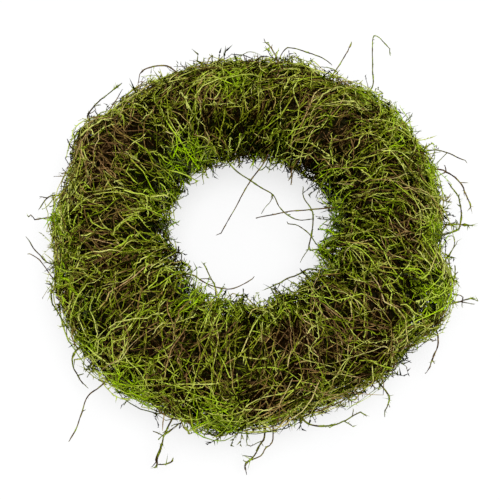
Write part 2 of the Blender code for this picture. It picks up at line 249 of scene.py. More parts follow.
def new_material(name):
    material = bpy.data.materials.new(name)
    material.use_nodes = True
    material.node_tree.nodes.clear()
    return material, Bench(material.node_tree)


def object_place(bench):
    return bench.node("ShaderNodeTexCoord", {}, {}, "Object")


def finish_material(bench, colour, roughness, bump_height, bump_distance, specular=0.006, glow=0.0):
    """One rough surface, with a bump from the same noise as its colour."""
    normal = bench.node("ShaderNodeBump", {},
                        {"Strength": BUMP_STRENGTH, "Distance": bump_distance, "Height": bump_height})
    shader = bench.node("ShaderNodeBsdfPrincipled", {},
                        {"Base Color": colour, "Roughness": roughness, "Normal": normal,
                         "Specular IOR Level": specular, "Emission Color": WHITE,
                         "Emission Strength": glow})
    bench.node("ShaderNodeOutputMaterial", {}, {"Surface": shader})


def noise(bench, place, scale, detail=2.0, output="Fac"):
    return bench.node("ShaderNodeTexNoise", {"noise_dimensions": "3D"},
                      {"Vector": place, "Scale": scale, "Detail": detail}, output)


def attribute(bench, name):
    settings = {"attribute_type": "GEOMETRY", "attribute_name": name}
    return bench.node("ShaderNodeAttribute", settings, {}, "Fac")


print("helpers for materials ready")

# %% Material of the shoots
# The dark and light ends of each colour: the mix between them carries each shoot's own tone and also the
# painted shade and painted highlights.
BARK_DARK, BARK_LIGHT = (0.0060, 0.0025, 0.0001, 1.0), (0.390, 0.250, 0.064, 1.0)
MAUVE_DARK, MAUVE_LIGHT = (0.0070, 0.0024, 0.0002, 1.0), (0.315, 0.180, 0.066, 1.0)
MOSS_DARK, MOSS_LIGHT = (0.0024, 0.0034, 0.0001, 1.0), (0.345, 0.382, 0.018, 1.0)
FRESH_DARK, FRESH_LIGHT = (0.0016, 0.0060, 0.0001, 1.0), (0.256, 0.436, 0.002, 1.0)
# Pale straw, which is also the colour of the painted highlights.
PALE_STRAW_AND_HIGHLIGHT = (0.455, 0.450, 0.235, 1.0)
MOTTLE_SCALE, GRAIN_SCALE = 480.0, 2600.0
# Below this middle level shade is painted, and above it light.
MIDDLE_LEVEL = 0.55  # where the level, 0 for buried and 1 for on top, leaves the light as it is
MOSS_EDGE = 0.31  # the moss amount under which the bark is bare


def moss_and_bark():
    material, bench = new_material("moss and bark")
    place = object_place(bench)
    mottle, grain = noise(bench, place, MOTTLE_SCALE), noise(bench, place, GRAIN_SCALE)
    shade, tip, fresh = attribute(bench, "shade"), attribute(bench, "leaf_tip_highlight"), attribute(bench, "fresh")
    raised = attribute(bench, "level") - MIDDLE_LEVEL

    # How light a place is: its shoot's own tone and blotches, with shade painted by how deep it lies and a
    # highlight painted at the leaf tips.
    light = -0.140 + shade * 0.75 + (mottle - 0.5) * 1.1 + raised * 1.5 + tip * 0.30
    light = light.clamped() ** 1.55
    mauve, warm = bench.mix(light, MAUVE_DARK, MAUVE_LIGHT), bench.mix(light, BARK_DARK, BARK_LIGHT)
    bark = bench.mix((fresh * 2.0).clamped(), mauve, warm)
    old, young = bench.mix(light, MOSS_DARK, MOSS_LIGHT), bench.mix(light, FRESH_DARK, FRESH_LIGHT)
    green = bench.mix(fresh, old, young)

    # Moss is thinner where it is buried or painted darker, and it breaks up in the grain.
    moss = attribute(bench, "moss") + raised * 0.25 + (light - 0.30) * 0.35 + (grain - 0.5) * 0.9
    moss = ((moss - MOSS_EDGE) * 2.6).clamped()

    # The lightest places turn pale: partly dry straw, partly a painted highlight, but not on fresh moss.
    straw_and_highlight = ((light - 0.50) * (0.80 - 1.10 * fresh)).clamped()
    colour = bench.mix(straw_and_highlight, bench.mix(moss, bark, green), PALE_STRAW_AND_HIGHLIGHT)
    roughness = 0.72 + 0.2 * moss + (grain - 0.5) * 0.15
    finish_material(bench, colour, roughness, grain + mottle, bump_distance=0.0003)
    return material


MOSS = moss_and_bark()
print("material:", MOSS.name)

# %% [markdown]
# ## Tools for trees that make shoots
#
# Three things repeat in the trees below. A value is kept on the geometry under a name, a random
# number is drawn for each shoot, and a line becomes a thin tube with small cones, the moss leaves.
# Each draw has a salt, a number of its own, so that no two draws for one shoot agree.
# A cone of three sides is enough for a leaf 2 mm long that appears tens of thousands of times.

# %% Steps that the trees share
SOCKETS = {int: "NodeSocketInt", float: "NodeSocketFloat"}


def new_tree(name, inputs, takes_geometry=False):
    """A tree with a named input for each default value, and its inputs as values."""
    tree = bpy.data.node_groups.new(name, "GeometryNodeTree")
    tree.interface.new_socket("Geometry", in_out="OUTPUT", socket_type="NodeSocketGeometry")
    if takes_geometry:
        tree.interface.new_socket("Geometry", in_out="INPUT", socket_type="NodeSocketGeometry")
    for label, default in inputs.items():
        socket = tree.interface.new_socket(label, in_out="INPUT", socket_type=SOCKETS[type(default)])
        socket.default_value = default
    bench = Bench(tree)
    entry = bench.node("NodeGroupInput").socket.node
    given = {socket.name: Value(tree, socket) for socket in entry.outputs if socket.name}
    return tree, bench, given


def keep(bench, geometry, name, value, domain="POINT", kind="FLOAT"):
    return bench.node("GeometryNodeStoreNamedAttribute", {"data_type": kind, "domain": domain},
                      {"Geometry": geometry, "Name": name, "Value": value})


def kept(bench, name, kind="FLOAT"):
    return bench.node("GeometryNodeInputNamedAttribute", {"data_type": kind}, {"Name": name}, "Attribute")


def chance(bench, low, high, who, seed, salt):
    return bench.node("FunctionNodeRandomValue", {"data_type": "FLOAT"},
                      {"Min": low, "Max": high, "ID": who, "Seed": seed + salt}, "Value")


def wild_vector(bench, who, seed, salt):
    return bench.node("FunctionNodeRandomValue", {"data_type": "FLOAT_VECTOR"},
                      {"Min": (-1.0, -1.0, -1.0), "Max": (1.0, 1.0, 1.0), "ID": who, "Seed": seed + salt},
                      "Value")


def position(bench):
    return bench.node("GeometryNodeInputPosition")


def keep_all(bench, geometry, values):
    for name, value in values.items():
        geometry = keep(bench, geometry, name, value)
    return geometry


def moved(bench, geometry, **change):
    """The geometry at a new Position, or shifted by an Offset."""
    return bench.node("GeometryNodeSetPosition", {}, {"Geometry": geometry, **change})


def join(bench, *geometries):
    joined = bench.node("GeometryNodeJoinGeometry", {}, {"Geometry": geometries[0]})
    for geometry in geometries[1:]:
        bench.tree.links.new(geometry.socket, joined.socket.node.inputs[0])
    return joined


def planted(bench, dots, grows, shape, **turned):
    """A shape on each chosen point, made real at once so that each one can be bent on its own."""
    shapes = bench.node("GeometryNodeInstanceOnPoints", {},
                        {"Points": dots, "Selection": grows, "Instance": shape, **turned})
    return bench.node("GeometryNodeRealizeInstances", {}, {"Geometry": shapes})


print("shared steps ready")

# %% Lines, and the points along them
def share_along(bench):
    """How far a point is along its own line, from 0 to 1."""
    return bench.node("GeometryNodeSplineParameter", {}, {}, "Factor")


def straight_line(bench, points):
    """A line 1 m long with a number of points, to be placed and bent."""
    line = bench.node("GeometryNodeCurvePrimitiveLine", {},
                      {"Start": (0.0, 0.0, 0.0), "End": (0.0, 0.0, 1.0)})
    return bench.node("GeometryNodeResampleCurve", {}, {"Curve": line, "Count": points})


def points_every(bench, lines, spacing):
    return bench.node("GeometryNodeCurveToPoints", {"mode": "LENGTH"},
                      {"Curve": lines, "Length": spacing}, "Points")


def leaning_off(bench, dots, onward, astray, who, seed, salt):
    """A turn from upright to partly along the line and partly to a random side."""
    forward = bench.scaled(bench.also(dots, "Tangent"), onward)
    sideways = bench.scaled(wild_vector(bench, who, seed, salt), astray)
    aim = bench.vector_math("ADD", forward, sideways)
    return bench.node("FunctionNodeAlignRotationToVector", {"axis": "Z"}, {"Vector": aim})


print("line steps ready")

# %% Tubes with moss leaves
SHOOT_SIDES, LEAF_SIDES = 3, 3
LEAF_ONWARD, LEAF_ASTRAY = 0.65, 0.9
LONG_LEAVES = 0.14  # share of the leaves that are about twice as long
LOWEST_POINT = 0.0004


def leaf_cones(bench, lines, spacing, length, radius, seed):
    """Small cones along lines, pointing forward and outward, fewer where the moss is thin."""
    dots = points_every(bench, lines, spacing)
    who = bench.node("GeometryNodeInputIndex")
    turn = leaning_off(bench, dots, LEAF_ONWARD, LEAF_ASTRAY, who, seed, 31)
    cone = bench.node("GeometryNodeMeshCone", {"fill_type": "NGON"},
                      {"Vertices": LEAF_SIDES, "Side Segments": 1, "Radius Top": 0.0,
                       "Radius Bottom": 1.0, "Depth": 1.0}, "Mesh")
    # The height along each leaf, kept for the highlight painted at its tip.
    _, _, height = bench.parts(position(bench))
    cone = keep(bench, cone, "leaf_tip_highlight", height)
    cone = keep(bench, cone, "leaf_place", position(bench), kind="FLOAT_VECTOR")
    long = 1.0 + 1.1 * (chance(bench, 0.0, 1.0, who, seed, 35) < LONG_LEAVES)
    size = chance(bench, 0.45, 1.25, who, seed, 32) * long * length * kept(bench, "fur")
    wide = chance(bench, 0.65, 1.15, who, seed, 33) * radius * kept(bench, "fur")
    grows = chance(bench, 0.0, 1.0, who, seed, 34) < kept(bench, "moss") * 0.75 + 0.30
    leaves = planted(bench, dots, grows, cone, Rotation=turn, Scale=bench.vector(wide, wide, size))
    return keep(bench, leaves, "is_leaf", 1.0)


def tubes_with_leaves(bench, lines, thick, leaf_radius, leaf_spacing, leaf_length, seed):
    """Three-sided tubes round the lines, with leaves, all kept above the floor."""
    ring = bench.node("GeometryNodeCurvePrimitiveCircle", {},
                      {"Resolution": SHOOT_SIDES, "Radius": 1.0}, "Curve")
    ring = keep(bench, ring, "around", share_along(bench))
    tubes = bench.node("GeometryNodeCurveToMesh", {},
                       {"Curve": lines, "Profile Curve": ring, "Scale": thick, "Fill Caps": True})
    both = join(bench, tubes, leaf_cones(bench, lines, leaf_spacing, leaf_length, leaf_radius, seed))
    x, y, z = bench.parts(position(bench))
    return moved(bench, both, Position=bench.vector(x, y, z.at_least(LOWEST_POINT)))


print("tubes have", SHOOT_SIDES, "sides and leaves", LEAF_SIDES)

# %% [markdown]
# ## A map for baking, and the way to run a tree
#
# A baked finish needs a flat map of the surface. Unwrapping this many small faces would be slow, so
# the tree writes the map itself: each shoot has a cell of its own in a grid, with its leaves in a
# strip beside it. A tree runs on a holder object, and its result is kept as a plain mesh, which is
# all that the export reads.

# %% Map for baking, end of a tree and its run
BAKE_MAP = "OFBake"
MAP_COLUMNS = 6


def bake_places(bench, geometry, shoots):
    """The map: each shoot has its own small cell, with its leaves in a strip beside it."""
    # A whole number comes back from the mesh as a fraction near it, so it is rounded first.
    strand = (kept(bench, "strand") + 0.5).floor()
    along, around = kept(bench, "along"), kept(bench, "around")
    leaf_x, _, leaf_z = bench.parts(kept(bench, "leaf_place", "FLOAT_VECTOR"))
    rows = (shoots / float(MAP_COLUMNS)).ceiling()
    column = strand.mod(float(MAP_COLUMNS))
    row = (strand / float(MAP_COLUMNS)).floor()
    across = (0.03 + 0.94 * along + 0.006 * leaf_x).clamped()
    up = 0.06 + 0.62 * around + kept(bench, "is_leaf") * (0.70 + 0.22 * leaf_z)
    u, v = (column + across) / float(MAP_COLUMNS), (row + up) / rows
    return keep(bench, geometry, BAKE_MAP, bench.vector(u, v, 0.0), "CORNER", "FLOAT2")


def end_tree(bench, geometry):
    smooth = bench.node("GeometryNodeSetShadeSmooth", {}, {"Geometry": geometry})
    real = bench.node("GeometryNodeRealizeInstances", {}, {"Geometry": smooth})
    finished = bench.node("GeometryNodeSetMaterial", {}, {"Geometry": real, "Material": MOSS})
    bench.node("NodeGroupOutput", {}, {"Geometry": finished})


def run_tree(name, tree, values, source=None):
    """The plain mesh that a tree makes, as an object at the origin."""
    holder = in_scene(name + "_holder", source or bpy.data.meshes.new(name + "_holder"))
    modifier = holder.modifiers.new("Nodes", "NODES")
    modifier.node_group = tree
    for item in tree.interface.items_tree:
        if item.in_out == "INPUT" and item.name in values:
            modifier[item.identifier] = values[item.name]
    bpy.context.view_layer.update()
    mesh = bpy.data.meshes.new_from_object(holder.evaluated_get(bpy.context.evaluated_depsgraph_get()))
    bpy.data.objects.remove(holder, do_unlink=True)
    mesh.name = name
    mesh.materials.clear()
    mesh.materials.append(MOSS)
    return in_scene(name, mesh)


def triangles(piece):
    piece.data.calc_loop_triangles()
    return len(piece.data.loop_triangles)


print("runner ready")

# %% [markdown]
# ## The ring and its swellings
#
# Every shoot is placed by two angles: theta goes round the ring, and phi goes round its section, from
# the outer rim over the top to the hole. The real ring isn't even. Its outer rim bulges or draws in
# at some ring angles, and so does the rim of the hole. A few swellings with soft slopes follow that,
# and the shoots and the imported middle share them.

# %% Ring and swellings
RING_RADIUS = 0.1064
TUBE_HALF_WIDTH = 0.0427
TUBE_HALF_HEIGHT = 0.0347
FRONT_SWELL = 0.039

OUTER_SWELLS = (  # ring angle, reach in degrees, how far the outer rim swells there in mm
    (336, 14, 8.0), (216, 24, 2.0), (257, 14, 3.0), (150, 9, 6.0), (100, 48, -6.4), (0, 18, -6.0),
    (166, 15, -5.0), (190, 10, -4.0), (291, 22, -6.4), (319, 9, -3.0), (61, 9, -4.0),
    (352, 8, -3.0), (270, 8, -2.0), (182, 20, -1.5),
)
INNER_SWELLS = (  # the same at the rim of the hole
    (88, 18, 1.4), (150, 12, 2.5), (14, 26, -4.0), (237, 18, -3.4), (281, 9, -3.0), (331, 9, -8.5),
    (208, 18, 5.4), (341, 7, 6.0), (291, 7, 2.4), (350, 6, -1.0),
)


def ring_direction(theta):
    return Vector((math.cos(theta), math.sin(theta), 0.0))


def swelling(bench, theta, swells):
    """How far a rim stands out at a ring angle, as a share of the moss's half width."""
    here = bench.vector(theta.cos(), theta.sin(), 0.0)
    total = 0.0
    for angle, reach, height in swells:
        away = bench.vector_math("DISTANCE", here, ring_direction(math.radians(angle)), "Value")
        near = (1.0 - away / math.radians(reach)).at_least(0.0)
        total = near * (2.0 - near) * (height / MILLIMETRES / TUBE_HALF_WIDTH) + total
    return total


def ring_place(bench, theta, phi, scale, floor):
    """A point of the ring's skin at a ring angle and a section angle, never under the floor."""
    width = TUBE_HALF_WIDTH * (1.0 - FRONT_SWELL * theta.sin())
    radius = RING_RADIUS + scale * width * phi.cos()
    height = (CENTRE_HEIGHT + scale * TUBE_HALF_HEIGHT * phi.sin()).at_least(floor)
    return bench.vector(radius * theta.cos(), radius * theta.sin(), height)


print(len(OUTER_SWELLS), "swellings outside and", len(INNER_SWELLS), "round the hole")

# %% [markdown]
# ## The tree that lays the shoots
#
# A shoot could be drawn by hand, but there are thousands. Each one here is a short line whose points
# are moved onto the ring: along the shoot the section angle grows, so that it climbs from the outer
# rim over the top to the hole. A lean turns it along the ring, noise bends it, and a random level
# buries it or lifts it. Each of these steps is a function, so that it can be read by itself.

# %% Inputs of the shoot tree, and what a shoot draws for itself
SHOOT_INPUTS = {
    "Shoots": 200, "Points": 14, "Seed": 1, "Start Angle": 0.0, "Span": 0.4, "Rim Share": 0.0,
    "Shortest": 0.030, "Longest": 0.105, "Lean": 0.0, "Lean Range": 1.1, "Lowest": 0.835,
    "Highest": 1.02, "Lift": 0.0, "Cap": 1.19, "Thickness": 0.00052,
    "Leaf Spacing": 0.0026, "Leaf Length": 0.0024, "Leaf Radius": 0.00038,
}


class Shoot:
    """The shoot that the tree works on, with its own random numbers and noise along its length."""

    def __init__(self, bench, given):
        self.bench, self.given, self.seed = bench, given, given["Seed"]
        self.number, self.along = kept(bench, "strand"), share_along(bench)
        more = given["Longest"] - given["Shortest"]
        length = given["Shortest"] + more * self.draw(0.0, 1.0, 1) ** 1.8
        self.distance = (self.along - 0.5) * length

    def draw(self, low, high, salt):
        return chance(self.bench, low, high, self.number, self.seed, salt)

    def wander(self, waves, step, pace, detail=0.0, output="Fac"):
        """Noise with so many waves in a metre. Step and pace set it apart by shoot and by seed."""
        place = self.bench.vector(self.number * step, self.distance * waves, self.seed * pace)
        return noise(self.bench, place, 1.0, detail, output)

    def bend_noise(self, waves, step, pace):
        """Three such noises at once, each about as often below zero as above."""
        return [part - 0.5 for part in self.bench.parts(self.wander(waves, step, pace, output="Color"))]


print("the shoot tree has", len(SHOOT_INPUTS), "named inputs")

# %% Where a shoot lies, and how it bends
SECTION_TOP, SECTION_REACH = 1.5708, 3.58
OUTER_RIM, INNER_RIM = 0.35, 2.80  # section angles
OUTER_SHARE = 0.62  # of the loose ends at the rims
MEAN_HALF_WIDTH = 0.040
SLOW_BENDS, FAST_BENDS = 38.0, 190.0
SLOW_REACH_ROUND, FAST_REACH_ROUND = 0.020, 0.0044
SLOW_REACH_ALONG, FAST_REACH_ALONG = 0.025, 0.0052


def middle_of(shoot):
    """The section angle of a shoot's middle: anywhere round the section, or near a rim."""
    side = shoot.draw(-1.0, 1.0, 5)
    anywhere = SECTION_TOP + SECTION_REACH * side * (0.62 + 0.38 * side.size())
    rim = OUTER_RIM + (INNER_RIM - OUTER_RIM) * (shoot.draw(0.0, 1.0, 19) > OUTER_SHARE)
    rim = rim + shoot.draw(-0.6, 0.6, 20)
    at_rim = shoot.draw(0.0, 1.0, 21) < shoot.given["Rim Share"]
    return anywhere + (rim - anywhere) * at_rim


def laid_lines(shoot, middle):
    """A straight line for each shoot, fewer towards the hole, where the ring has less room."""
    bench = shoot.bench
    starts = bench.node("GeometryNodePoints", {}, {"Count": shoot.given["Shoots"]})
    starts = keep(bench, starts, "strand", bench.node("GeometryNodeInputIndex"))
    room = (RING_RADIUS + TUBE_HALF_WIDTH * middle.cos()) / (RING_RADIUS + TUBE_HALF_WIDTH)
    grows = shoot.draw(0.0, 1.0, 22) < room
    return planted(bench, starts, grows, straight_line(bench, shoot.given["Points"]))


def course_of(shoot, middle):
    """The two angles of each point of a shoot, and the slow and the fast noise that bend it."""
    given, draw, distance = shoot.given, shoot.draw, shoot.distance
    turn = draw(-1.0, 1.0, 3)
    lean = given["Lean"] * draw(0.4, 1.2, 4) + given["Lean Range"] * turn * (0.40 + 0.60 * turn.size())
    start = given["Start Angle"] + given["Span"] * draw(-0.06, 1.06, 6)
    phi = middle + distance * lean.cos() / MEAN_HALF_WIDTH
    theta = start + distance * lean.sin() / RING_RADIUS

    slow = shoot.bend_noise(SLOW_BENDS, 3.17, 1.7)
    fast = shoot.bend_noise(FAST_BENDS, 5.31, 2.3)
    phi = phi + (slow[0] * SLOW_REACH_ROUND + fast[0] * FAST_REACH_ROUND) / MEAN_HALF_WIDTH
    theta = theta + (slow[1] * SLOW_REACH_ALONG + fast[1] * FAST_REACH_ALONG) / RING_RADIUS
    return theta, phi, slow[2], fast[2]


print("loose ends:", round(OUTER_SHARE * 100), "percent at the outer rim")

# %% How high a shoot lies
LUMP_WAVES, LUMP_SHARE = 26.0, 0.09
FLARED, BOWED = 0.32, 0.10  # shares of the shoots with an end, or a middle, that stands out
BURIED, LEVEL_RANGE = 0.78, 0.28


def height_of(shoot, skin, theta, outward, inward, slow, fast, fresh, shaded):
    """How far out of the section's middle a point lies, as a share, and its level for the colours."""
    given, draw, along = shoot.given, shoot.draw, shoot.along
    lumps = noise(shoot.bench, skin, LUMP_WAVES, 1.5) - 0.5
    ends = along * 2.0 - 1.0
    base = given["Lowest"] + (given["Highest"] - given["Lowest"]) * draw(0.0, 1.0, 7) ** 0.75
    scale = base - 0.075 * ends ** 4.0 * draw(0.0, 1.0, 10) + slow * 0.15 + fast * 0.030
    flare = (draw(0.0, 1.0, 8) < FLARED) * (along ** 4.0) * draw(0.04, 0.26, 9)
    lift = given["Lift"] * draw(0.25, 1.0, 15) * along ** 1.2
    bow = (draw(0.0, 1.0, 16) < BOWED) * (1.0 - ends * ends) * draw(0.04, 0.19, 17)

    # The level is 0 for a buried place and 1 on top, and it sets painted shade: buried places are painted
    # darker. What stands out is painted a little darker too. The painted shade is stronger on the flanks than
    # on the top, a little darker on the outer flank and lighter on the hole's side. Fresh places are drawn
    # lighter, and shade is painted near the shaded patches.
    level = ((scale - BURIED) / LEVEL_RANGE).at_most(1.0) - (flare + lift + bow) * 0.4 + lumps * 0.05
    flank_shading = outward.size() * 0.5 + inward * 0.4
    level = level + (level - 0.66) * flank_shading - outward.clamped() * 0.04 + inward * 0.015
    level = (level + fresh * 0.14 - shaded * 0.30).clamped()

    outer = swelling(shoot.bench, theta, OUTER_SWELLS) * outward.at_least(0.0)
    inner = swelling(shoot.bench, theta, INNER_SWELLS) * outward.at_most(0.0)
    scale = (scale + flare + lift + bow) * (1.0 + lumps * LUMP_SHARE) + (outer - inner)
    return scale.at_most(given["Cap"]), level


print("of the shoots", round(FLARED * 100), "percent flare and", round(BOWED * 100), "percent bow")

# %% What a shoot carries
def marked(shoot, lines, skin, level, outward, inward, brown, fresh):
    """Moss, freshness, shade, level and fur, kept on the lines for the leaves and the material."""
    bench, draw = shoot.bench, shoot.draw
    patchy = noise(bench, skin, 60.0) - 0.5
    streaks = shoot.wander(60.0, 9.7, 1.1, detail=1.0) - 0.5
    moss = 0.60 + patchy * 0.9 + streaks * 1.4 + draw(-0.50, 0.50, 11)
    moss = (moss - brown * 0.56 + fresh * 0.40 + inward * 0.15).clamped()
    clear = fresh * 0.55 + patchy * 0.7 + draw(-0.45, 0.45, 12)
    clear = (clear + inward * 0.34 + outward.clamped() * 0.14 + 0.02).clamped()
    return keep_all(bench, lines, {
        "moss": moss,
        "fresh": clear,
        "shade": (draw(0.05, 0.95, 13) + streaks * 0.9).clamped(),
        "level": level,
        "fur": draw(0.65, 1.55, 18) * (0.6 + 0.5 * moss),
        "along": shoot.along,
    })


print("marks: moss, fresh, shade, level, fur and along")

# %% Geometry Nodes tree of the shoots
FLOOR_GAP = 0.0009
KNOTS = 420.0


def shoot_tree():
    tree, bench, given = new_tree("Mossed shoots", SHOOT_INPUTS)
    shoot = Shoot(bench, given)
    middle = middle_of(shoot)
    lines = laid_lines(shoot, middle)
    theta, phi, slow, fast = course_of(shoot, middle)
    outward = phi.cos()
    inward = (outward * -1.0).clamped()
    skin = ring_place(bench, theta, phi, 1.0, 0.0)
    brown, fresh = nearness(bench, skin, BROWN_PATCHES), nearness(bench, skin, FRESH_PATCHES)
    # Shade is painted on the shoots near these patches.
    shaded = nearness(bench, skin, SHADED_PATCHES)
    scale, level = height_of(shoot, skin, theta, outward, inward, slow, fast, fresh, shaded)
    lines = moved(bench, lines, Position=ring_place(bench, theta, phi, scale, FLOOR_GAP))
    lines = marked(shoot, lines, skin, level, outward, inward, brown, fresh)

    knots = shoot.wander(KNOTS, 2.9, 0.7)
    taper = 1.0 - 0.5 * shoot.along ** 3.0
    thick = given["Thickness"] * (0.50 + knots) * shoot.draw(0.65, 1.35, 14) * taper
    both = tubes_with_leaves(bench, lines, thick, given["Leaf Radius"], given["Leaf Spacing"],
                             given["Leaf Length"], given["Seed"])
    end_tree(bench, bake_places(bench, both, given["Shoots"]))
    return tree


SHOOTS = shoot_tree()
print("shoot tree:", len(SHOOTS.nodes), "nodes")

# %% [markdown]
# ## Sixteen bunches of shoots
#
# Each packed bunch solid is replaced by one piece of long shoots over the same part of the ring. The
# shoots near its ends cross into the neighbours, so no seam shows. Each bunch was laid with its own
# slant across the ring. The tree runs once for a bunch, its result is kept as a plain mesh, and the
# holder with its modifier goes. A second run lays short curled moss between the long shoots.

# %% Shoots over each bunch
BUNCHES = (  # start angle, slant across the ring, finish
    (-8.0, 38, "moss_green"), (15.5, 10, "moss_green"), (37.0, 12, "vine_brown"), (60.0, 28, "moss_olive"),
    (86.5, 42, "moss_olive"), (105.0, 38, "moss_olive"), (128.0, -2, "vine_brown"), (153.0, 28, "vine_brown"),
    (172.5, 20, "moss_olive"), (198.0, -6, "moss_olive"), (222.0, 6, "moss_green"), (240.0, 0, "moss_green"),
    (264.0, 38, "moss_green"), (290.0, 4, "moss_olive"), (318.0, 25, "vine_brown"), (335.0, 33, "moss_olive"),
)
LONG_PER_DEGREE, SHORT_PER_DEGREE = 18.0, 22.0
LONG_SEED, SHORT_SEED = 100, 300
LONG_SHOOTS = {"Points": 11, "Shortest": 0.022, "Longest": 0.105, "Lean Range": 1.15,
               "Thickness": 0.00043, "Leaf Spacing": 0.0038, "Leaf Length": 0.0026, "Leaf Radius": 0.00042}
SHORT_SHOOTS = {"Points": 5, "Shortest": 0.008, "Longest": 0.030, "Lean Range": 3.1, "Lowest": 0.78,
                "Highest": 1.0, "Thickness": 0.00042, "Leaf Spacing": 0.0027, "Leaf Length": 0.0027,
                "Leaf Radius": 0.00042}


def lay_shoots(name, start, span, slant, per_degree, seed, kind):
    """One piece of shoots over a part of the ring, riding on the wreath."""
    values = {"Shoots": round(span * per_degree), "Seed": seed, "Lean": math.radians(slant),
              "Start Angle": math.radians(start), "Span": math.radians(span), **kind}
    piece = run_tree(name, SHOOTS, values)
    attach(piece, "root")
    return piece


ends = [bunch[0] for bunch in BUNCHES[1:]] + [BUNCHES[0][0] + 360.0]
total = 0
for index, ((start, slant, finish), end) in enumerate(zip(BUNCHES, ends)):
    long = lay_shoots(f"long_shoots_{index + 1:02d}", start, end - start, slant, LONG_PER_DEGREE,
                      LONG_SEED + index, LONG_SHOOTS)
    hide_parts(f"bunch_{index + 1:02d}")
    short = lay_shoots(f"short_moss_{index + 1:02d}", start, end - start, slant, SHORT_PER_DEGREE,
                       SHORT_SEED + index, SHORT_SHOOTS)
    total += triangles(long) + triangles(short)
print("triangles in the shoots:", total)

# %% [markdown]
# ## Stray hairs and loose loops
#
# Fine ends stand out of the ring on all sides, most of them at the two rims, where they make its
# outline soft. Longer curled shoots hang loose there. Both come from the same tree: a lift raises
# the far end of each, and a higher cap lets it stand further out.

# %% Stray hairs and loose loops
HAIRS_PER_DEGREE, LOOPS_PER_DEGREE = 6.0, 2.0
HAIR_SEED, LOOP_SEED = 400, 430
HAIRS = {"Points": 5, "Shortest": 0.007, "Longest": 0.024, "Lean Range": 3.1, "Lowest": 0.93,
         "Highest": 1.02, "Lift": 0.20, "Cap": 1.32, "Rim Share": 0.62, "Thickness": 0.00044,
         "Leaf Spacing": 0.0024, "Leaf Length": 0.0034, "Leaf Radius": 0.00056}
LOOPS = {"Points": 11, "Shortest": 0.018, "Longest": 0.062, "Lean Range": 3.1, "Lowest": 0.98,
         "Highest": 1.08, "Lift": 0.10, "Cap": 1.32, "Rim Share": 1.0, "Thickness": 0.00042,
         "Leaf Spacing": 0.0042, "Leaf Length": 0.0028, "Leaf Radius": 0.00044}

hairs = lay_shoots("stray_hairs", 0.0, 360.0, 0.0, HAIRS_PER_DEGREE, HAIR_SEED, HAIRS)
print("triangles in the stray hairs:", triangles(hairs))

loops = lay_shoots("loose_loops", 0.0, 360.0, 0.0, LOOPS_PER_DEGREE, LOOP_SEED, LOOPS)
print("triangles in the loose loops:", triangles(loops))
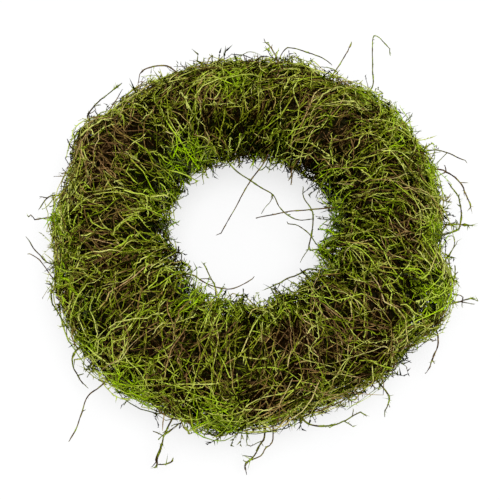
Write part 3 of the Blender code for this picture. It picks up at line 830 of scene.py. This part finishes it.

# %% [markdown]
# ## Sprigs
#
# Single shoots stand out of the rim and into the hole. Each stays near the route of its solid, but it is
# finer and crooked, with knots, short side twigs and leaves, and some have a fork. Their points are listed
# one by one, and a smooth curve through them becomes a chain of edges for the tree.

# %% Routes of the sprigs
GREEN, BROWN = 0.95, 0.45
SPRIGS = {  # moss amount, bud size, then (ring angle, ring radius, height); a second list is a fork
    "sprig_back_stick": (BROWN, 1.9,
        [(63, 148, 42), (62, 160, 44), (62, 180, 45)]),
    "sprig_back_hook": (GREEN, 1.0,
        [(50, 150, 38), (50.6, 158, 38), (53.8, 172, 37), (56.7, 187, 36), (58.7, 200, 35),
         (58.9, 203, 34), (57.5, 204, 33), (54, 201, 31)]),
    "sprig_back_spike": (BROWN, 1.0,
        [(78, 143, 40), (82, 154, 42), (85, 163, 42)]),
    "sprig_back_arch": (GREEN, 1.0,
        [(82, 145, 44), (79, 155, 46), (77, 157, 48), (74, 158, 46), (68, 159, 43), (65, 158, 40)]),
    "sprig_left_tall": (GREEN, 1.6,
        [(148, 150, 36), (144, 158, 41), (141, 158, 46), (136, 157, 48), (131, 155, 52)]),
    "sprig_left_bent": (BROWN, 1.5,
        [(111, 144, 40), (114, 150, 42), (117, 156, 44), (121, 161, 42), (123, 162, 38)]),
    "sprig_right_arch": (GREEN, 1.0,
        [(26, 149, 41), (23.5, 157, 43), (21, 166, 44), (19, 173, 42), (18, 178, 40)],
        [(21, 166, 44), (20, 159, 41), (19.5, 153, 39)]),
    "sprig_right_droop": (BROWN, 1.0,
        [(21, 148, 34), (18.5, 158, 35), (17, 162, 35), (15, 167, 34), (12.5, 172, 31), (10, 173.5, 28),
         (7.5, 176, 23)],
        [(17, 162, 35), (16.5, 152, 34)],
        [(17, 162, 35), (19, 163, 37)]),
    "sprig_right_loop": (GREEN, 1.2,
        [(-3, 149, 32), (-1, 157, 34), (0, 161, 38), (4, 163, 41), (7, 163, 43), (9, 160, 46),
         (12, 156, 48)]),
    "sprig_right_stub": (GREEN, 3.0,
        [(3, 147, 26), (2.5, 157, 26), (2, 171, 27)]),
    "sprig_right_fork": (GREEN, 1.0,
        [(-19, 148, 34), (-16, 156.5, 36), (-14, 159, 38), (-12, 157, 41)],
        [(-14, 159, 38), (-13.5, 161.5, 38)],
        [(-14, 157, 34), (-10.5, 154, 35), (-8, 154.5, 36), (-5.5, 156.5, 37), (-3, 156, 38),
         (-3, 151, 38)]),
    "sprig_right_twin": (GREEN, 1.0,
        [(-23, 150, 30), (-22, 158, 30), (-20, 168.5, 31), (-18.5, 174.5, 33)],
        [(-20, 168.5, 31), (-19.5, 176, 30)],
        [(-19.5, 152, 34), (-19, 165, 34), (-19, 169, 33)]),
    "sprig_front_hang": (BROWN, 1.0,
        [(-29, 152, 30), (-30, 160, 30), (-33, 166, 27), (-36, 168, 22), (-38, 170, 16)]),
    "sprig_front_curl": (GREEN, 1.0,
        [(-52, 150, 36), (-52, 158, 34), (-52, 165, 27), (-54, 168, 20)]),
    "sprig_front_arc": (GREEN, 1.0,
        [(-79, 149, 40), (-75, 153, 38), (-72, 158, 35), (-68, 160.5, 32), (-65, 161, 30),
         (-60, 160.5, 28)]),
    "sprig_front_squiggle": (BROWN, 1.0,
        [(-83, 151, 26), (-84, 160, 25), (-86, 164, 22), (-87, 169, 20), (-90, 172, 15), (-91, 175, 10)]),
    "sprig_front_spike": (GREEN, 1.0,
        [(-86, 150, 35), (-86, 157, 34), (-87, 162, 30), (-89, 169.5, 24), (-91, 174, 19),
         (-91, 177, 15)],
        [(-90.5, 152, 31), (-90.5, 163, 28), (-87, 160.5, 30)]),
    "sprig_front_pod": (GREEN, 2.4,
        [(-110, 149, 36), (-110.5, 154, 36), (-111, 167, 33), (-111, 178, 26), (-111, 184, 20),
         (-110.5, 186, 18), (-111, 189, 15)],
        [(-107, 152, 36), (-109, 159, 35), (-111, 167, 33)],
        [(-111, 168, 32), (-112, 167.5, 31), (-114, 168, 32)],
        [(-110.5, 186, 18), (-109, 184, 18), (-108, 181.5, 18), (-108, 178, 20)]),
    "sprig_front_long": (BROWN, 1.4,
        [(-132, 149, 36), (-131, 160, 37), (-132, 172, 34), (-131, 183, 28), (-130, 194, 20),
         (-130, 202, 13)]),
    "sprig_left_vee": (GREEN, 1.0,
        [(-144, 149, 32), (-143, 159, 33), (-141, 166, 29), (-139, 168, 23), (-137, 169, 17)]),
    "sprig_left_high_arc": (GREEN, 1.0,
        [(-166, 147, 38), (-169, 153, 41), (-171, 157, 44), (-172.6, 161, 46), (-174.7, 164, 49)]),
    "sprig_left_low_arc": (BROWN, 1.0,
        [(-162, 149, 28), (-165, 151, 28), (-170, 158, 30), (-172, 161.5, 30), (-173.5, 167.5, 32)]),
    "sprig_left_hook": (BROWN, 1.0,
        [(176, 147, 36), (176.7, 154, 37), (177.3, 160, 38), (177.7, 163.5, 39), (177, 165, 41),
         (176.7, 166, 42), (177.6, 167, 43)]),
    "sprig_left_frond": (GREEN, 1.0,
        [(168, 148, 34), (169.5, 155, 35), (170.5, 159, 34), (172.5, 162, 31)]),
    "sprig_hole_straight": (BROWN, 1.0,
        [(75, 66, 42), (77, 54, 42), (88, 37, 41), (116, 20, 39.5), (155, 16.5, 38), (191, 21.5, 36)]),
    "sprig_hole_swoop": (GREEN, 1.0,
        [(110, 65, 34), (102, 52, 34), (87, 41, 34), (73, 36, 34), (57, 35, 33), (40, 31, 32),
         (23, 33, 31), (14, 39, 30), (11, 50, 31)],
        [(57, 35, 33), (54, 29, 33), (55, 24, 33), (54, 17, 32)]),
    "sprig_hole_across": (BROWN, 1.0,
        [(11, 67, 46), (11, 59, 48), (12, 46, 49), (15, 32, 49), (20, 17, 48), (36, 7, 46)]),
    "sprig_hole_fork": (GREEN, 1.0,
        [(-14, 66, 36), (-19, 55, 37), (-22, 49, 38), (-9, 48, 40), (9, 50, 40), (17, 50, 41),
         (28, 48, 42), (36, 52, 43)],
        [(-22, 49, 39), (-30, 48, 40), (-38, 49, 42)]),
    "sprig_hole_low": (GREEN, 1.0,
        [(-20, 66, 28), (-12, 56, 26), (-5.5, 50, 25), (2, 45.5, 24), (11, 38.5, 24), (16, 32, 23)]),
    "sprig_hole_spur": (BROWN, 1.4,
        [(55, 68, 46), (53, 57, 47), (49, 51, 46), (45, 46, 45)]),
    "sprig_hole_left_spur": (GREEN, 1.0,
        [(-106, 67, 42), (-117, 56, 42), (-126, 50, 41), (-137, 46, 40)]),
    "sprig_hole_bow": (BROWN, 1.0,
        [(-150, 66, 34), (-141, 57, 33), (-131, 54, 32), (-120, 52, 31), (-107, 49, 30), (-96, 43, 29),
         (-86, 38, 28)]),
    "sprig_hole_leafy": (GREEN, 1.0,
        [(-30, 67, 38), (-37, 58, 41), (-46, 54, 41), (-55, 51, 40), (-65, 50, 38), (-70, 50, 36)]),
}
ROUTE_STEP = 0.0025
ROOT_DEPTH = 0.30  # share of the way to the middle of the ring's section, where a sprig is rooted
FORK_GIRTH = 0.62


def smooth_route(points):
    """Even points along a smooth curve through the given points."""
    ends = [points[0] * 2 - points[1]] + list(points) + [points[-1] * 2 - points[-2]]
    route = []
    for a, b, c, d in zip(ends, ends[1:], ends[2:], ends[3:]):
        count = max(1, round((c - b).length / ROUTE_STEP))
        for i in range(count):
            t = i / count
            route.append(0.5 * (2 * b + (c - a) * t + (2 * a - 5 * b + 4 * c - d) * t * t
                                + (3 * b - a - 3 * c + d) * t * t * t))
    return route + [points[-1].copy()]


def route_mesh(name, stretches):
    """Loose edges along the sprig, rooted in the moss, and along its forks."""
    routes = [[ring_point(*point) for point in stretch] for stretch in stretches]
    first = routes[0][0]
    across = Vector((first.x, first.y, 0.0)).normalized() * RING_RADIUS
    routes[0][0] = first.lerp(Vector((across.x, across.y, CENTRE_HEIGHT)), ROOT_DEPTH)
    points, edges, shares = [], [], []
    for route in routes:
        smooth = smooth_route(route)
        shares += [1.0 if route is routes[0] else FORK_GIRTH] * len(smooth)
        edges += [(len(points) + i, len(points) + i + 1) for i in range(len(smooth) - 1)]
        points += smooth
    mesh = bpy.data.meshes.new(name)
    mesh.from_pydata(points, edges, [])
    share = mesh.attributes.new("girth_share", "FLOAT", "POINT")
    share.data.foreach_set("value", shares)
    return mesh


print(len(SPRIGS), "sprigs have routes")

# %% [markdown]
# ## The tree that dresses a sprig
#
# The route is resampled and shaken a little, more towards the tip. Side twigs are short lines set on
# it at random, bent in the same way. Girth is kept on the lines before they become tubes. Some
# stalks are bare and thin, so they get finer values and hardly a leaf, and one ends in a long pod.

# %% Inputs of the sprig tree, and the plain stalks
SPRIG_INPUTS = {
    "Seed": 1, "Moss": 0.9, "Bud": 1.0, "Bud Length": 0.06, "Root Radius": 0.00088,
    "Tip Radius": 0.00050, "Twig Spacing": 0.0065, "Twig Length": 0.0085, "Leaf Spacing": 0.0011,
    "Leaf Length": 0.0034, "Crookedness": 0.0030,
}
POD = {"Bud Length": 0.20}
SMOOTH_STALKS = ("sprig_back_stick", "sprig_back_hook", "sprig_back_arch", "sprig_right_arch",
                 "sprig_front_long", "sprig_front_squiggle", "sprig_left_high_arc", "sprig_left_low_arc",
                 "sprig_left_hook", "sprig_hole_straight", "sprig_hole_across", "sprig_hole_swoop",
                 "sprig_hole_fork", "sprig_hole_low", "sprig_hole_bow")
SMOOTH = {"Root Radius": 0.00066, "Tip Radius": 0.00044, "Twig Spacing": 0.019, "Twig Length": 0.005,
          "Leaf Spacing": 0.0019, "Leaf Length": 0.0020, "Crookedness": 0.0013}
print(len(SMOOTH_STALKS), "of the sprigs are plain stalks")

# %% Geometry Nodes tree of the sprigs
STALK_STEP = 0.0026
TWIG_POINTS = 5
TWIG_ONWARD, TWIG_ASTRAY = 0.8, 0.85
SPRIG_LEAF_RADIUS = 0.00045


def stalk_line(bench, given, shaken):
    """The route of a sprig as a crooked line that carries its girth, with a bud near the tip."""
    line = bench.node("GeometryNodeMeshToCurve", {}, {"Mesh": given["Geometry"]})
    line = bench.node("GeometryNodeResampleCurve", {"mode": "LENGTH"}, {"Curve": line, "Length": STALK_STEP})
    line = keep(bench, line, "along", share_along(bench))
    along = kept(bench, "along")
    line = moved(bench, line, Offset=bench.scaled(shaken, given["Crookedness"] * (0.35 + along)))
    bud = (1.0 - (along + given["Bud Length"] - 1.0).size() / given["Bud Length"]).at_least(0.0)
    girth = given["Root Radius"] + (given["Tip Radius"] - given["Root Radius"]) * along
    girth = girth * (1.0 + (given["Bud"] - 1.0) * bud)
    return keep(bench, line, "girth", girth * kept(bench, "girth_share"))


def side_twigs(bench, given, stalk, shaken):
    """Short crooked lines off the stalk, more of them towards its tip."""
    seed = given["Seed"]
    dots = points_every(bench, stalk, given["Twig Spacing"])
    who = bench.node("GeometryNodeInputIndex")
    turn = leaning_off(bench, dots, TWIG_ONWARD, TWIG_ASTRAY, who, seed, 41)
    size = given["Twig Length"] * chance(bench, 0.25, 1.0, who, seed, 42)
    grows = chance(bench, 0.0, 1.0, who, seed, 43) < 0.25 + 0.55 * kept(bench, "along")
    twigs = planted(bench, dots, grows, straight_line(bench, TWIG_POINTS), Rotation=turn,
                    Scale=bench.vector(size, size, size))
    out = share_along(bench)
    twigs = moved(bench, twigs, Offset=bench.scaled(shaken, given["Crookedness"] * 2.0 * out))
    twigs = keep(bench, twigs, "girth", given["Tip Radius"] * (1.0 - 0.45 * out))
    return keep(bench, twigs, "along", out)


def sprig_tree():
    tree, bench, given = new_tree("Sprig", SPRIG_INPUTS, takes_geometry=True)
    place = position(bench)
    shaken = bench.vector_math("SUBTRACT", noise(bench, place, 95.0, 2.5, "Color"), (0.5, 0.5, 0.5))
    stalk = stalk_line(bench, given, shaken)
    lines = join(bench, stalk, side_twigs(bench, given, stalk, shaken))
    lines = keep(bench, lines, "strand", bench.node("GeometryNodeInputIndex"), "CURVE")

    # Tufts are the mossy stretches of a stalk: lighter, thicker and with longer leaves.
    patchy = noise(bench, place, 130.0) - 0.5
    tuft = ((noise(bench, place, 230.0, 1.0) - 0.56) * 10.0).clamped()
    lines = keep_all(bench, lines, {
        "moss": (given["Moss"] * (0.62 + 0.5 * tuft) + patchy * 1.2).clamped(),
        "fresh": (0.15 + patchy * 1.2 + tuft * 0.3).clamped(),
        "shade": 0.62 + patchy * 1.2,
        "level": MIDDLE_LEVEL + 0.17 * tuft,
        "fur": 0.45 + tuft * (0.15 + 0.75 * given["Moss"]),
    })
    count = bench.node("GeometryNodeAttributeDomainSize", {"component": "CURVE"},
                       {"Geometry": lines}, "Spline Count")
    knots = noise(bench, place, 380.0, 1.0)
    thick = kept(bench, "girth") * (0.45 + 1.1 * knots) * (1.0 + 0.35 * tuft * given["Moss"])
    both = tubes_with_leaves(bench, lines, thick, SPRIG_LEAF_RADIUS, given["Leaf Spacing"],
                             given["Leaf Length"], given["Seed"])
    end_tree(bench, bake_places(bench, both, count))
    return tree


SPRIG = sprig_tree()
print("sprig tree:", len(SPRIG.nodes), "nodes")

# %% Sprigs in place of their solids
SPRIG_SEED = 500

total = 0
for index, (name, (moss, bud, *stretches)) in enumerate(SPRIGS.items()):
    values = {"Seed": SPRIG_SEED + index, "Moss": moss, "Bud": bud}
    if name == "sprig_front_pod":
        values.update(POD)
    if name in SMOOTH_STALKS:
        values.update(SMOOTH)
    route = route_mesh(name + "_route", stretches)
    piece = run_tree(name.replace("sprig", "fine_sprig"), SPRIG, values, route)
    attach(piece, "root")
    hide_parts(name)
    total += triangles(piece)
print("triangles in the sprigs:", total)

# %% [markdown]
# ## Packed middle
#
# Between the outer shoots the eye meets old leaf crumbs and dead vine. A closed lumpy ring inside the shoots
# stands for that packed middle, and it is painted nearly black, so it also stands for the shade deep in the
# tangle. It is made from a grid that is bent round, because its lumps follow one rule everywhere.

# %% Packed middle
CORE_SCALE = 0.80
CORE_LOWEST = 0.002
# Nearly black: dead leaf and vine, with the shade deep in the tangle painted in.
CRUMB_DARK, CRUMB_LIGHT = (0.0030, 0.0014, 0.0003, 1.0), (0.022, 0.014, 0.004, 1.0)
CRUMB_GREEN = (0.007, 0.010, 0.0008, 1.0)


def drawn_in(theta, swells):
    """How far a rim is drawn in at a ring angle, as a number: the swellings above without bulges."""
    total = 0.0
    for angle, reach, height in swells:
        away = (ring_direction(theta) - ring_direction(math.radians(angle))).length
        near = max(0.0, 1.0 - away / math.radians(reach))
        total += near * (2.0 - near) * height / MILLIMETRES / TUBE_HALF_WIDTH
    return min(0.0, total)


def section_point(theta, phi, scale):
    """The place of ring_place as numbers, a share of the way from the section's middle."""
    width = TUBE_HALF_WIDTH * (1.0 - FRONT_SWELL * math.sin(theta))
    radius = RING_RADIUS + scale * width * math.cos(phi)
    height = CENTRE_HEIGHT + scale * TUBE_HALF_HEIGHT * math.sin(phi)
    return Vector((radius * math.cos(theta), radius * math.sin(theta), height))


def packed_middle(columns=180, rows=40):
    points, faces = [], []
    for i in range(columns):
        theta = 2.0 * math.pi * i / columns
        outer, inner = drawn_in(theta, OUTER_SWELLS), drawn_in(theta, INNER_SWELLS)
        for j in range(rows):
            phi = 2.0 * math.pi * j / rows
            skin = section_point(theta, phi, 1.0)
            scale = CORE_SCALE * (1.0 + 0.07 * field.noise(skin * 90.0) + 0.06 * field.noise(skin * 300.0))
            scale += outer * max(0.0, math.cos(phi)) - inner * min(0.0, math.cos(phi))
            point = section_point(theta, phi, scale)
            point.z = max(CORE_LOWEST, point.z)
            points.append(point)
            a, b = i * rows + j, i * rows + (j + 1) % rows
            c, d = (a + rows) % (columns * rows), (b + rows) % (columns * rows)
            faces.append((a, c, d, b))
    mesh = bpy.data.meshes.new("packed_middle")
    mesh.from_pydata(points, [], faces)
    mesh.shade_smooth()
    return in_scene("packed_middle", mesh)


def dead_leaf():
    material, bench = new_material("dead leaf and vine")
    place = object_place(bench)
    crumbs = noise(bench, place, 420.0, 4.0)
    tint = noise(bench, place, 60.0)
    colour = bench.mix(((crumbs - 0.42) * 3.0).clamped(), CRUMB_DARK, CRUMB_LIGHT)
    colour = bench.mix(tint * 0.6, colour, CRUMB_GREEN)
    finish_material(bench, colour, 0.85 + (crumbs - 0.5) * 0.2, crumbs, bump_distance=0.002, specular=0.05)
    return material


middle = packed_middle()
middle.data.materials.append(dead_leaf())
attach(middle, "root")
print("packed middle:", triangles(middle), "triangles")

# %% [markdown]
# ## Hoop and wire
#
# The vine hoop and the wire that binds the bunches to it are inside the moss. They keep their
# solids, and get the finish that shows when a bunch is lifted: ringed bark, and lacquered wire.

# %% Finishes of the hoop and the wire
VINE_DARK, VINE_LIGHT = (0.012, 0.007, 0.004, 1.0), (0.130, 0.075, 0.040, 1.0)
LACQUER, BARE_WIRE = (0.006, 0.022, 0.008, 1.0), (0.060, 0.055, 0.050, 1.0)


def hoop_bark():
    material, bench = new_material("hoop vine bark")
    place = object_place(bench)
    x, y, z = bench.parts(place)
    streaks = noise(bench, bench.vector(x * 0.2, y * 0.2, z), 900.0, 3.0)
    blotches = noise(bench, place, 110.0, 3.0)
    colour = bench.mix((streaks * 1.2 + (blotches - 0.5)).clamped(), VINE_DARK, VINE_LIGHT)
    finish_material(bench, colour, 0.68 + 0.2 * streaks, streaks, bump_distance=0.0006)
    return material


def wire_lacquer():
    material, bench = new_material("green wire lacquer")
    worn = noise(bench, object_place(bench), 1500.0)
    colour = bench.mix(((worn - 0.55) * 6.0).clamped(), LACQUER, BARE_WIRE)
    finish_material(bench, colour, 0.32 + 0.3 * worn, worn, bump_distance=0.00005, specular=0.5)
    return material


for node, finish in (("hoop", hoop_bark()), ("binding_wire", wire_lacquer())):
    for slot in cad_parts[node].material_slots:
        slot.material = finish
    print(node, "has", finish.name)

# %% [markdown]
# ## Floor and light
#
# The wreath lies on a white light table. The table glows by itself, so the shadow round the wreath
# and inside the hole only dims it a little. A bright even sky gives the open look, and one large
# soft lamp nearly overhead picks out the upper shoots.

# %% Floor
FLOOR_REACH = 3.0
FLOOR_GLOW = 0.735
FLOOR_DARK, FLOOR_LIGHT = (0.121, 0.121, 0.122, 1.0), (0.129, 0.129, 0.130, 1.0)

corners = [(x * FLOOR_REACH, y * FLOOR_REACH, 0) for x, y in ((-1, -1), (1, -1), (1, 1), (-1, 1))]
floor_mesh = bpy.data.meshes.new("floor")
floor_mesh.from_pydata(corners, [], [(0, 1, 2, 3)])
floor = in_scene("floor", floor_mesh)
floor_material, bench = new_material("white light table")
fibre = noise(bench, object_place(bench), 900.0, 3.0)
fibre_colour = bench.mix(fibre, FLOOR_DARK, FLOOR_LIGHT)
finish_material(bench, fibre_colour, 0.9, fibre, bump_distance=0.00002, specular=0.02, glow=FLOOR_GLOW)
floor_mesh.materials.append(floor_material)
print("floor:", 2 * FLOOR_REACH, "m wide")

# %% Light
SKY_STRENGTH = 0.85
LAMP_STRENGTH = 4.8
LAMP_SPREAD = math.radians(52.0)
LAMP_DIRECTION = Vector((-0.10, 0.08, -1.0))

world = bpy.data.worlds.new("pale sky")
world.use_nodes = True
sky = world.node_tree.nodes["Background"]
sky.inputs["Color"].default_value = WHITE
sky.inputs["Strength"].default_value = SKY_STRENGTH
bpy.context.scene.world = world

lamp_data = bpy.data.lights.new("soft lamp", "SUN")
lamp_data.energy = LAMP_STRENGTH
lamp_data.angle = LAMP_SPREAD
point_along(in_scene("soft lamp", lamp_data), LAMP_DIRECTION)
print("sky", SKY_STRENGTH, "and lamp", LAMP_STRENGTH)
